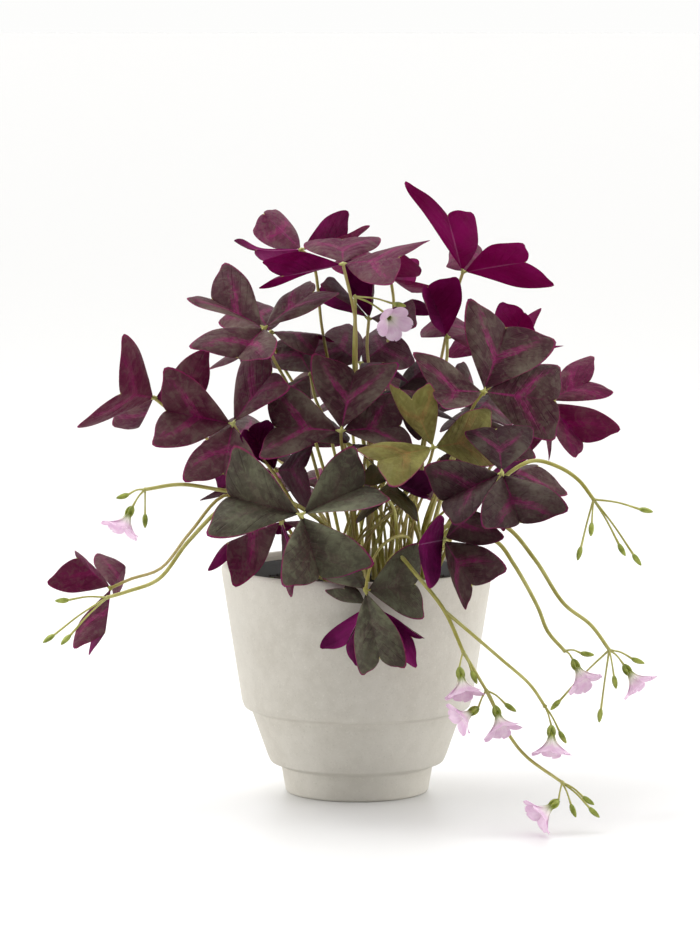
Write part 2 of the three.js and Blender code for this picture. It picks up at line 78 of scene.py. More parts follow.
# ---------------------------------------------------------------- leaves
LEAVES = {
  "crown_left": { "hub": [-28, 36, 269], "leaflets": [
    [[-33, -20, 4], [-19, -38, -4], -4, 0.8],
    [[-24, 37, 6], [-12, 41, 17], 18],
    [[35, 19, 9], [22, 32, 17], 18],
  ] },
  "crown_centre": { "hub": [-7, -8, 265], "leaflets": [
    [[-39, -28, 5], [-41, 0, -11], -6, 0.68],
    [[42, -5, 13], [23, -38, -7], 4],
    [[-19, 41, 9], [18, 41, 10], 2],
  ] },
  "crown_behind": { "hub": [17, 49, 254], "leaflets": [
    [[27, 22, -8], [14, 36, 6], 20],
    [[-30, 25, 4], [-8, 42, 8], 15],
    [[16, -32, 8], [-14, -32, 8], 20],
  ] },
  "crown_right": { "hub": [53, 20, 259], "leaflets": [
    [[5, -38, 31], [-26, -5, 47], -2, 0.66],
    [[44, -12, -7], [28, -34, 18], 2],
    [[-8, 44, 8], [12, 44, 9], 15],
  ] },
  "upper_left": { "hub": [-46, -8, 233], "leaflets": [
    [[-37, 0, 16], [-20, 27, 32], -14],
    [[20, 33, 23], [37, 0, 16], 0],
    [[3, -44, -10], [-35, -28, -5], -14, 0.68],
  ] },
  "upper_left_inner": { "hub": [-43, 20, 229], "leaflets": [
    [[31, 12, -5], [20, -14, -11], 15],
    [[-28, 26, 4], [2, 40, 10], 15],
    [[-6, -26, -24], [-30, -14, -18], 15],
  ] },
  "upper_inner": { "hub": [-23, -4, 210], "leaflets": [
    [[-26, 34, 8], [0, 42, 10], 15],
    [[17, 14, -2], [14, -18, -12], 20],
    [[-6, -27, -20], [-31, -8, -16], 12],
  ] },
  "far_left": { "hub": [-101, -2, 198], "leaflets": [
    [[-36, -25, -13], [-13, -33, 34], 14, 0.66],
    [[-17, 38, -12], [-22, 30, -18], 15],
    [[26, 15, 23], [22, 15, -14], 15],
  ] },
  "mid_left": { "hub": [-61, -32, 188], "leaflets": [
    [[-38, -20, -9], [-32, -15, 28], -18],
    [[10, 23, 39], [26, -15, 20], -6],
    [[10, -28, -24], [-23, -32, -24], -6],
  ] },
  "centre": { "hub": [-8, -38, 185], "leaflets": [
    [[-39, -12, -11], [-35, 12, 23], -12],
    [[-14, 20, 35], [28, 12, 32], -12, 0.78],
    [[27, 25, 18], [36, 0, -9], -6, 0.8],
  ] },
  "centre_low": { "hub": [-4, -34, 178], "leaflets": [
    [[12, -8, -32], [-18, -14, -28], 15],
    [[30, 24, -10], [34, -14, -14], 15],
    [[-26, 24, 4], [-6, 38, 6], 15],
  ] },
  "front_green": { "hub": [-27, -82, 149], "leaflets": [
    [[-45, -5, -8], [-33, 5, 32], -20, 0.8],
    [[25, 8, 32], [42, -8, 8], -18, 0.78],
    [[34, -18, -21], [-8, -32, -29], -24, 0.7],
  ] },
  "front_olive": { "hub": [37, -58, 179], "leaflets": [
    [[-22, 22, 28], [-1, 8, 30], 10, 0.68],
    [[-20, -38, -12], [-37, -8, 1], 0, 0.8],
    [[29, 28, 17], [32, 15, -9], 0],
  ] },
  "right_large": { "hub": [62, -34, 204], "leaflets": [
    [[-8, 12, 44], [36, 18, 24], -10, 0.78],
    [[-19, -38, -5], [-33, -8, 21], -12, 0.68],
    [[38, 20, 12], [35, 14, -26], 10, 0.8],
  ] },
  "right_large_low": { "hub": [58, -22, 192], "leaflets": [
    [[31, 4, -21], [-1, 4, -27], 15],
    [[-16, 26, 16], [-4, 30, 22], 15],
    [[-4, 40, 2], [22, 34, -6], 15],
  ] },
  "lower_right": { "hub": [70, -70, 168], "leaflets": [
    [[-17, 14, 19], [16, 28, 19], 0, 0.8],
    [[31, -22, -15], [-10, -34, -22], -20, 0.68],
    [[-23, -28, -20], [-37, -10, 4], -16, 0.8],
  ] },
  "lower_right_inner": { "hub": [66, -14, 162], "leaflets": [
    [[17, 10, -4], [18, 22, 6], 15],
    [[26, -12, -12], [4, -20, -26], 20],
    [[-30, 22, -4], [-14, 38, 6], 15],
  ] },
  "rim_right": { "hub": [42, -74, 136], "leaflets": [
    [[-3, -31, 15], [-7, -38, -18], 16, 0.76],
    [[15, 5, 24], [27, -15, 2], 15],
    [[29, -30, -10], [10, -12, -32], 8, 0.78],
  ] },
  "rim_front": { "hub": [4, -80, 112], "leaflets": [
    [[19, -18, -34], [-2, -10, -39], 0, 0.8],
    [[26, 15, 21], [28, 5, -14], -4],
    [[-24, 15, 9], [-4, 26, 12], 12],
  ] },
  "rim_front_low": { "hub": [5, -74, 104], "leaflets": [
    [[-22, -6, -20], [-6, -6, -28], -15],
    [[22, -5, -30], [27, -8, -14], 15],
    [[-20, 3, 6], [-8, 3, 10], 10],
  ] },
  "rim_left": { "hub": [-37, -52, 142], "leaflets": [
    [[-21, -32, -27], [-36, -12, -21], 20],
    [[12, -20, -26], [5, -26, -33], 15],
    [[0, 36, -10], [24, 22, -12], 15],
  ] },
  "inner_left": { "hub": [-40, -15, 163], "leaflets": [
    [[-3, -20, 27], [-17, -30, 19], 20],
    [[-30, 10, -3], [-37, -15, -12], 15],
    [[18, -5, 18], [18, -18, -20], 20],
  ] },
  "behind_flower": { "hub": [2, 22, 213], "leaflets": [
    [[-30, 15, -2], [-5, 36, 18], 15],
    [[8, 38, 16], [28, 25, -2], 15],
    [[24, -26, -6], [2, -36, -6], 15],
  ] },
  "under_crown": { "hub": [6, 26, 235], "leaflets": [
    [[2, -28, 30], [-12, -22, 30], 20],
    [[-22, -25, 19], [-27, 12, 10], 20],
    [[32, 0, 5], [22, -30, -1], 20],
  ] },
  "under_crown_right": { "hub": [45, 10, 227], "leaflets": [
    [[5, -20, 31], [-15, -34, 23], 20],
    [[26, 4, 2], [24, -20, -4], 15],
    [[-14, 36, 2], [14, 38, 2], 15],
  ] },
  "back_right_high": { "hub": [75, 40, 219], "leaflets": [
    [[16, -18, 9], [-4, -30, 25], 20],
    [[30, 25, -3], [18, 30, 18], 20],
    [[-30, 16, -4], [-14, 38, 2], 15],
  ] },
  "middle_dark": { "hub": [20, 4, 201], "leaflets": [
    [[11, 28, 14], [33, 10, 3], 15],
    [[30, -8, -14], [10, -20, -22], 15],
    [[-22, 20, -14], [-6, 32, -12], 15],
  ] },
  "far_right": { "hub": [94, 10, 195], "leaflets": [
    [[25, 30, 21], [34, 10, 4], -2, 0.68],
    [[36, -15, -12], [13, -24, -25], -18, 0.7],
    [[3, -20, -27], [-12, -24, -26], 20],
  ] },
  "far_low_left": { "hub": [-122, -20, 105], "leaflets": [
    [[-30, -15, 4], [-17, 10, 18], 20],
    [[-10, -20, -30], [-17, -28, -24], 20],
    [[-8, 30, 14], [4, 34, -6], 20],
  ] },
  "olive_low": { "hub": [16, -52, 162], "leaflets": [
    [[-14, -18, 2], [-14, -4, 14], 15],
    [[14, -30, -14], [-16, -32, -17], 15],
    [[16, -25, -5], [22, -15, 5], 20],
  ] },
  "back_left": { "hub": [-45, 50, 172], "leaflets": [
    [[-34, 22, -6], [-12, 40, 8], 12],
    [[14, 38, 8], [38, 18, -4], 12],
    [[16, -34, -10], [-20, -32, -12], 12],
  ] },
  "back_centre": { "hub": [-5, 62, 196], "leaflets": [
    [[-34, 22, -6], [-12, 40, 8], 12],
    [[14, 38, 8], [38, 18, -4], 12],
    [[16, -34, -10], [-20, -32, -12], 12],
  ] },
  "back_right": { "hub": [62, 55, 190], "leaflets": [
    [[-34, 22, -6], [-12, 40, 8], 12],
    [[14, 38, 8], [38, 18, -4], 12],
    [[16, -34, -10], [-20, -32, -12], 12],
  ] },
  "back_low_left": { "hub": [-30, 82, 146], "leaflets": [
    [[-34, 22, -12], [-12, 40, 4], 12],
    [[14, 38, 4], [38, 18, -10], 12],
    [[16, -34, -6], [-20, -32, -8], 12],
  ] },
  "back_low_right": { "hub": [70, 60, 150], "leaflets": [
    [[-34, 22, -12], [-12, 40, 4], 12],
    [[14, 38, 4], [38, 18, -10], 12],
    [[16, -34, -6], [-20, -32, -8], 12],
  ] },
}

# Petioles that arch or trail instead of rising straight to their hub pass these points.
PETIOLE_WAYS = {
  "crown_centre": [[8, -12, 160], [0, -14, 210], [-1, -15, 238]],
  "rim_front": [[26, -34, 129], [19, -55, 135], [11, -68, 131], [6, -77, 122]],
  "rim_front_low": [[2, -50, 122], [4, -68, 116]],
  "far_low_left": [[-36, -16, 132], [-64, -42, 154], [-82, -38, 135], [-97, -30, 116], [-112, -24, 110]],
}

# ---------------------------------------------------------------- flower stalks
# A stalk is a set of "branches": a branch starts at the last point of the one it names and passes its points.
# Buds and flowers hang from a branch's end on pedicels; a flower faces from its calyx to its mouth.
STALKS = {
  "left_high": {
    "scape": [[-10, -25, 132], [-40, -46, 154], [-64, -50, 157], [-86, -58, 161], [-103, -62, 159]],
    "buds": [[-111, -66, 157], [-103, -64, 147]],
    "flowers": { "left": [[-109, -66, 151], [-114, -70, 141]] },
  },
  "left_low": {
    "scape": [[-40, -14, 134], [-62, -52, 151], [-82, -54, 133], [-97, -54, 114], [-112, -54, 108],
      [-122, -54, 105]],
    "buds": [[-141, -56, 104], [-148, -58, 87], [-140, -59, 87]],
    "flowers": {},
  },
  "crown": {
    "scape": [[8, -4, 150], [-1, -7, 205], [-1, -9, 238], [-1, -11, 249]],
    "buds": [[18, -18, 246]],
    "flowers": { "crown": [[14, -15, 241], [18, -26, 237]] },
  },
  "right_high": {
    "scape": [[40, -32, 130], [64, -54, 156], [76, -64, 169], [86, -70, 174], [98, -74, 171], [107, -76, 165],
      [114, -78, 156]],
    "buds": [[136, -84, 152], [113, -82, 145], [108, -80, 133], [126, -84, 135], [133, -84, 130]],
    "flowers": {},
  },
  "right_outer": {
    "scape": [[48, -30, 140], [72, -44, 139], [87, -50, 123], [101, -55, 102], [114, -58, 92],
      [123, -60, 80]],
    "buds": [[134, -62, 76], [125, -66, 68], [119, -62, 51], [99, -60, 55]],
    "flowers": { "right_outer": [[130, -63, 73], [138, -66, 62]] },
  },
  "right_inner": {
    "scape": [[44, -38, 138], [68, -50, 132], [76, -53, 122], [88, -58, 101], [93, -60, 89], [101, -63, 80]],
    "buds": [[109, -64, 79]],
    "flowers": { "right_inner": [[105, -66, 76], [110, -70, 67]] },
  },
  "front": {
    "scape": [[16, -44, 122], [21, -68, 127], [28, -77, 120], [42, -86, 103], [51, -94, 84]],
    "buds": [[55, -97, 75]],
    "flowers": { "front_left": [[49, -98, 77], [51, -102, 66]] },
    "branches": [
      { "from": [42, -86, 103], "by": [[69, -96, 81], [83, -100, 69], [90, -102, 59]],
        "buds": [[97, -104, 47]],
        "flowers": { "front_right": [[93, -105, 50], [93, -108, 40]] } },
      { "from": [51, -94, 84], "by": [[62, -98, 66]], "buds": [[71, -101, 60]],
        "flowers": { "front_small": [[58, -101, 58], [51, -104, 54]],
          "front_centre": [[66, -102, 59], [69, -106, 50]] } },
      { "from": [62, -98, 66], "by": [[73, -94, 44], [81, -104, 35], [98, -114, 24]],
        "buds": [[102, -118, 14], [108, -114, 17], [111, -116, 12]],
        "flowers": { "floor": [[96, -118, 16], [89, -121, 11]] } },
    ],
  },
}


# ---------------------------------------------------------------- looks of single leaves
# How far a leaf's upper face has turned to magenta (blush), and how deep in shade its colour is (deep).
# A leaf in neither table is barely blushed and not in shade.
BLUSH = {
    "crown_left": 0.75, "crown_centre": 0.7, "crown_behind": 1.0, "crown_right": 1.0,
    "under_crown": 0.45, "under_crown_right": 0.8, "back_right_high": 1.0, "far_right": 0.75,
    "upper_left": 0.2, "upper_left_inner": 0.3, "far_left": 0.45, "mid_left": 0.3, "inner_left": 0.6,
    "behind_flower": 0.35, "middle_dark": 0.15, "rim_left": 0.4, "far_low_left": 0.6,
}
DEEP = {
    "middle_dark": 0.7, "behind_flower": 0.35, "under_crown": 0.3, "lower_right": 0.5, "rim_right": 0.35,
    "olive_low": 0.75, "inner_left": 0.6, "back_left": 0.4, "back_right": 0.4, "lower_right_inner": 0.1,
}
LEAF_SLOTS = {
    "front_green": "leaf_green", "rim_front": "leaf_green", "rim_front_low": "leaf_green",
    "front_olive": "leaf_olive", "olive_low": "leaf_olive",
}


# ---------------------------------------------------------------- curves and grids
def unit(v):
    """The vectors scaled to length one."""
    v = np.asarray(v, float)
    return v / np.maximum(np.linalg.norm(v, axis=-1, keepdims=True), 1e-9)


def square_to(axis):
    """Two directions square to the axis and to each other."""
    guide = np.eye(3)[np.argmin(np.abs(axis))]
    across = unit(np.cross(guide, axis))
    return across, np.cross(axis, across)


def smooth_path(points, count):
    """Even steps along one smooth curve through the points: cubic pieces that share a slope where they
    meet, with the knots spaced by the square root of the distance between them."""
    p = np.asarray(points, float)
    gaps = np.sqrt(np.linalg.norm(np.diff(p, axis=0), axis=1))
    knots = np.concatenate([[0], np.cumsum(gaps)])
    slope = np.gradient(p, knots, axis=0)
    u = np.linspace(0, knots[-1], 8 * count)
    i = np.clip(np.searchsorted(knots, u, side="right") - 1, 0, len(gaps) - 1)
    h = gaps[i][:, None]
    f = ((u - knots[i]) / gaps[i])[:, None]
    fine = ((2 * f**3 - 3 * f**2 + 1) * p[i] + (f**3 - 2 * f**2 + f) * h * slope[i]
            + (3 * f**2 - 2 * f**3) * p[i + 1] + (f**3 - f**2) * h * slope[i + 1])
    run = np.concatenate([[0], np.cumsum(np.linalg.norm(np.diff(fine, axis=0), axis=1))])
    even = np.linspace(0, run[-1], count)
    return np.stack([np.interp(even, run, fine[:, k]) for k in range(3)], axis=1)


def grid_faces(rows, columns, round_columns=False):
    """Four corners of each cell of a grid numbered row by row. Round columns join the last to the first."""
    across = columns if round_columns else columns - 1
    r, c = np.meshgrid(np.arange(rows - 1), np.arange(across), indexing="ij")
    n = (c + 1) % columns
    return np.stack([r * columns + c, r * columns + n, (r + 1) * columns + n, (r + 1) * columns + c],
                    axis=-1).reshape(-1, 4)


def patch(points, material=0, round_columns=False, **values):
    """One grid of points with its faces, its material, and what is stored at each of its points."""
    rows, columns = points.shape[:2]
    stored = {k: np.broadcast_to(np.asarray(v, float), (rows, columns) + np.shape(v)[2:]).reshape(
        rows * columns, -1) for k, v in values.items()}
    return {"points": points.reshape(-1, 3), "faces": grid_faces(rows, columns, round_columns),
            "material": material, "values": stored}


def show(name, data):
    """A new object of the scene, at the origin."""
    shown = bpy.data.objects.new(name, data)
    bpy.context.scene.collection.objects.link(shown)
    return shown


def make_piece(name, patches, materials, replaces=(), meet=0.004):
    """One closed mesh from the patches: points nearer than a few thousandths of a millimetre are joined,
    which closes seams and poles, and faces are turned outwards."""
    starts = np.cumsum([0] + [len(p["points"]) for p in patches])
    points = np.concatenate([p["points"] for p in patches]) * MM
    faces = np.concatenate([p["faces"] + start for p, start in zip(patches, starts)])
    mesh = bpy.data.meshes.new(name)
    mesh.from_pydata(points, [], faces.tolist())
    mesh.polygons.foreach_set("material_index", np.concatenate(
        [np.full(len(p["faces"]), p["material"]) for p in patches]).astype(np.int32))
    for key in sorted({k for p in patches for k in p["values"]}):
        width = next(p["values"][key].shape[1] for p in patches if key in p["values"])
        whole = np.concatenate([p["values"].get(key, np.zeros((len(p["points"]), width))) for p in patches])
        if width == 2:
            corners = np.zeros(len(mesh.loops), np.int32)
            mesh.loops.foreach_get("vertex_index", corners)
            mesh.uv_layers.new(name=key).data.foreach_set("uv", whole[corners].ravel())
        else:
            mesh.attributes.new(key, "FLOAT", "POINT").data.foreach_set("value", whole.ravel())
    shell = bmesh.new()
    shell.from_mesh(mesh)
    bmesh.ops.remove_doubles(shell, verts=shell.verts, dist=meet * MM)
    bmesh.ops.dissolve_degenerate(shell, edges=shell.edges, dist=1e-7)
    bmesh.ops.recalc_face_normals(shell, faces=shell.faces)
    shell.to_mesh(mesh)
    shell.free()
    mesh.shade_smooth()
    mesh.set_sharp_from_angle(angle=math.radians(62))
    for material in materials:
        mesh.materials.append(material)
    piece = show(name, mesh)
    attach(piece, "root")
    if replaces:
        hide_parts(*replaces)
    return piece


def stem(points, radii, sides=8, count=24, material=0, **values):
    """A round stem: rings square to a smooth curve at even steps, their radius read off the given ones,
    with the ends drawn in to a point. It stores how far along each ring is."""
    way = smooth_path(points, count)
    ahead = unit(np.gradient(way, axis=0))
    guide = np.eye(3)[np.argmin(np.abs(ahead).max(axis=0))]
    across = unit(np.cross(ahead, guide))
    other = np.cross(ahead, across)
    turn = np.linspace(0, 2 * math.pi, sides, endpoint=False)[None, :, None]
    r = np.interp(np.linspace(0, 1, count), np.linspace(0, 1, len(radii)), radii)[:, None, None]
    rings = way[:, None] + r * (np.cos(turn) * across[:, None] + np.sin(turn) * other[:, None])
    tips = [np.repeat(way[:1, None], sides, axis=1), np.repeat(way[-1:, None], sides, axis=1)]
    rings = np.concatenate([tips[0], rings, tips[1]])
    along = np.concatenate([[0], np.linspace(0, 1, count), [1]])[:, None]
    return patch(rings, material, True, along=np.repeat(along, sides, axis=1),
                 **{k: np.full((count + 2, sides), v) for k, v in values.items()})


def turned(profile, sides, at=(0, 0, 0), axis=(0, 0, 1), ribs=0, rib_depth=0.0, material=0, **values):
    """A profile of radius and height carried round an axis. Ribs make the radius swell and dip that many
    times a turn by a share of itself."""
    profile = np.asarray(profile, float)
    axis = unit(axis)
    across, other = square_to(axis)
    turn = np.linspace(0, 2 * math.pi, sides, endpoint=False)
    r = profile[:, :1] * (1 + rib_depth * np.cos(ribs * turn)[None, :])
    points = (np.asarray(at, float) + r[..., None] * (np.cos(turn)[None, :, None] * across
              + np.sin(turn)[None, :, None] * other) + profile[:, 1][:, None, None] * axis)
    along = np.linspace(0, 1, len(profile))[:, None]
    return patch(points, material, True, along=np.repeat(along, sides, axis=1),
                 **{k: np.full((len(profile), sides), v) for k, v in values.items()})


def rounded(corners, radius, steps=4):
    """A profile whose inner corners are rounded: each corner becomes a short curve that starts and ends
    the given distance before and after it, or a third of the way to its neighbour."""
    p = np.asarray(corners, float)
    back, on = p[:-2] - p[1:-1], p[2:] - p[1:-1]
    reach = [np.minimum(radius, np.linalg.norm(d, axis=1) * 0.45)[:, None] * unit(d) for d in (back, on)]
    f = np.linspace(0, 1, steps)[None, :, None]
    bends = ((1 - f) ** 2 * (p[1:-1] + reach[0])[:, None] + 2 * f * (1 - f) * p[1:-1][:, None]
             + f**2 * (p[1:-1] + reach[1])[:, None])
    return np.concatenate([p[:1], bends.reshape(-1, 2), p[-1:]])


# ---------------------------------------------------------------- leaves
ACROSS = np.array([0, 0.03, 0.1, 0.2, 0.32, 0.45, 0.58, 0.7, 0.82, 0.91, 0.965, 1.0])
ROWS = 34
TIP_SHARE = 0.61  # how far round the outline the lobe's tip lies
# A half leaflet's outline from hub to notch: shares of the lobe's tip and of the notch, then how far it
# bulges outwards and forwards as shares of the side's length.
HALF_OUTLINE = [(0, 0, 0, 0), (0.3, 0, 0.085, -0.02), (0.6, 0, 0.125, -0.035), (0.87, 0, 0.075, -0.01),
                (0.985, 0, 0.012, 0.004), (0.955, 0.045, -0.012, 0.012), (0.74, 0.26, -0.005, 0.02),
                (0.4, 0.6, 0, 0.05), (0.1, 0.9, 0, 0.03), (0, 1, 0, 0)]


def leaflet(left_tip, right_tip, fold, share, draw, blush, deep):
    """A heart-shaped leaflet of two halves. A half is a ruled sheet: each row runs from a point of the
    midrib to a point of the outline, which goes from the hub along the bulging side, round the lobe's tip,
    and back to the notch. To that is added a bow between midrib and margin, a curl of the lobe's tip,
    a slow wave of the margin and an arch along the midrib. The lower face lies one thickness below,
    swells into a rib under the midrib, and meets the upper face at the margin."""
    tips = [np.array(left_tip, float), np.array(right_tip, float)]
    up = unit(np.cross(tips[1], tips[0]))
    size = sum(np.linalg.norm(t) for t in tips) / 2
    lift = math.radians(fold)
    notch = share * size * (math.cos(lift) * unit(unit(tips[0]) + unit(tips[1])) + math.sin(lift) * up)
    rib = unit(notch)
    arch, bow = draw.uniform(-0.01, 0.03), draw.uniform(0.015, 0.045)
    t = ACROSS[None, :, None]
    s = np.linspace(0, 1, ROWS)
    patches = []
    for side, tip in enumerate(tips):
        long = np.linalg.norm(tip)
        out = unit(tip - rib * np.dot(tip, rib))
        face = unit(np.cross(notch, tip) if side == 0 else np.cross(tip, notch))
        curl, wave, start = draw.uniform(-0.09, 0.02), draw.uniform(0.006, 0.018), draw.uniform(0, 6.28)
        corners = [a * tip + b * notch + long * (c * out + d * rib) for a, b, c, d in HALF_OUTLINE]
        outline = smooth_path(corners, ROWS)
        midrib = s[:, None] ** 1.3 * notch
        sheet = midrib[:, None] + t * (outline - midrib)[:, None]
        along = sheet @ rib / size
        across = sheet @ out / size
        ends = np.sin(math.pi * s)[:, None] ** 0.6
        near_tip = np.exp(-(((s - TIP_SHARE) / 0.17) ** 2))[:, None]
        tt = ACROSS[None, :]
        rise = (bow * np.sin(math.pi * tt) * ends + curl * tt**3 * near_tip
                + wave * np.sin(9 * s[:, None] + start) * tt**2 * ends
                + 0.0035 * np.sin(46 * s[:, None]) * np.sin(math.pi * tt) ** 0.7 * ends)
        sheet = sheet + size * rise[..., None] * face
        sheet = sheet + size * (arch * np.sin(math.pi * np.clip(along, 0, 1)))[..., None] * up
        sheet = sheet + rib * LEAFLET_SET
        rim = np.sqrt(np.clip(1 - tt**3, 0, 1)) * ends
        thick = BLADE_THICK * rim + 0.5 * np.exp(-((tt / 0.035) ** 2)) * (1 - 0.6 * s[:, None]) * ends
        flat = np.stack([(-1 if side == 0 else 1) * across, along], axis=-1)
        shape = (ROWS, len(ACROSS))
        lines = np.stack([np.broadcast_to(s[:, None], shape), np.broadcast_to(tt, shape)], axis=-1)
        for under in (0, 1):
            points = sheet - (thick[..., None] * face if under else 0)
            patches.append(patch(points, 0, blade=flat, vein=lines, under=np.full(shape, float(under)),
                                 blush=np.full(shape, blush), deep=np.full(shape, deep)))
    return patches


# ---------------------------------------------------------------- where the stems rise
GOLDEN_ANGLE = math.pi * (3 - math.sqrt(5))
turns = np.arange(CROWN_SPOTS)
spread = CROWN_SPREAD * np.sqrt((turns + 0.5) / CROWN_SPOTS)
spots = np.stack([CROWN[0] + spread * np.cos(turns * GOLDEN_ANGLE),
                  CROWN[1] + spread * np.sin(turns * GOLDEN_ANGLE),
                  np.full(CROWN_SPOTS, STEM_FOOT)], axis=1)
free_spots = list(range(CROWN_SPOTS))


def take_spot(towards):
    """The free spot of the crown that lies nearest to where a stem leads, as in the frame."""
    aim = np.array(CROWN) + 0.3 * (np.asarray(towards[:2], float) - CROWN)
    nearest = min(free_spots, key=lambda i: np.hypot(*(spots[i, :2] - aim)))
    free_spots.remove(nearest)
    return spots[nearest] - (0, 0, 2.5)


# ---------------------------------------------------------------- materials
def colour(code):
    """A colour as light, from the usual six hexadecimal digits."""
    parts = np.array([int(code[i:i + 2], 16) / 255 for i in (0, 2, 4)])
    light = np.where(parts <= 0.04045, parts / 12.92, ((parts + 0.055) / 1.055) ** 2.4)
    return (*light.tolist(), 1.0)


def add_node(tree, kind, inputs=(), **settings):
    """One shader node, with its settings, and each input linked or set to a constant."""
    made = tree.nodes.new(kind)
    for key, value in settings.items():
        setattr(made, key, value)
    for key, value in dict(inputs).items():
        if isinstance(value, bpy.types.NodeSocket):
            tree.links.new(value, made.inputs[key])
        else:
            made.inputs[key].default_value = value
    return made


class Finish:
    """A material under construction: each call adds one node and returns its output."""

    def __init__(self, name):
        self.material = bpy.data.materials.new(name)
        self.material.use_nodes = True
        self.tree = self.material.node_tree
        self.tree.nodes.clear()
        self.out = self.tree.nodes.new("ShaderNodeOutputMaterial")

    def node(self, kind, inputs=(), **settings):
        return add_node(self.tree, kind, inputs, **settings)

    def math(self, operation, a, b=0.0):
        return self.node("ShaderNodeMath", {0: a, 1: b}, operation=operation).outputs[0]

    def step(self, value, low, high, start=0.0, end=1.0):
        """A smooth step of the value from start at low to end at high."""
        return self.node("ShaderNodeMapRange", {"Value": value, "From Min": low, "From Max": high,
                         "To Min": start, "To Max": end}, interpolation_type="SMOOTHSTEP").outputs[0]

    def blend(self, share, a, b):
        return self.node("ShaderNodeMix", {0: share, 6: a, 7: b}, data_type="RGBA").outputs[2]

    def noise(self, where, scale, detail=3.0, rough=0.5, warp=0.0):
        return self.node("ShaderNodeTexNoise", {"Vector": where, "Scale": scale, "Detail": detail,
                         "Roughness": rough, "Distortion": warp}).outputs[0]

    def place(self):
        return self.node("ShaderNodeTexCoord").outputs["Object"]

    def flat(self, name):
        """The two coordinates of one of the piece's own maps."""
        split = self.node("ShaderNodeSeparateXYZ", {0: self.node("ShaderNodeUVMap", uv_map=name).outputs[0]})
        return split.outputs[0], split.outputs[1]

    def stored(self, name):
        return self.node("ShaderNodeAttribute", attribute_name=name).outputs["Fac"]

    def join(self, x, y, z=0.0):
        return self.node("ShaderNodeCombineXYZ", {0: x, 1: y, 2: z}).outputs[0]

    def bump(self, height, strength, distance):
        return self.node("ShaderNodeBump", {"Height": height, "Strength": strength,
                         "Distance": distance}).outputs[0]

    def finish(self, surface):
        self.tree.links.new(surface, self.out.inputs[0])
        return self.material


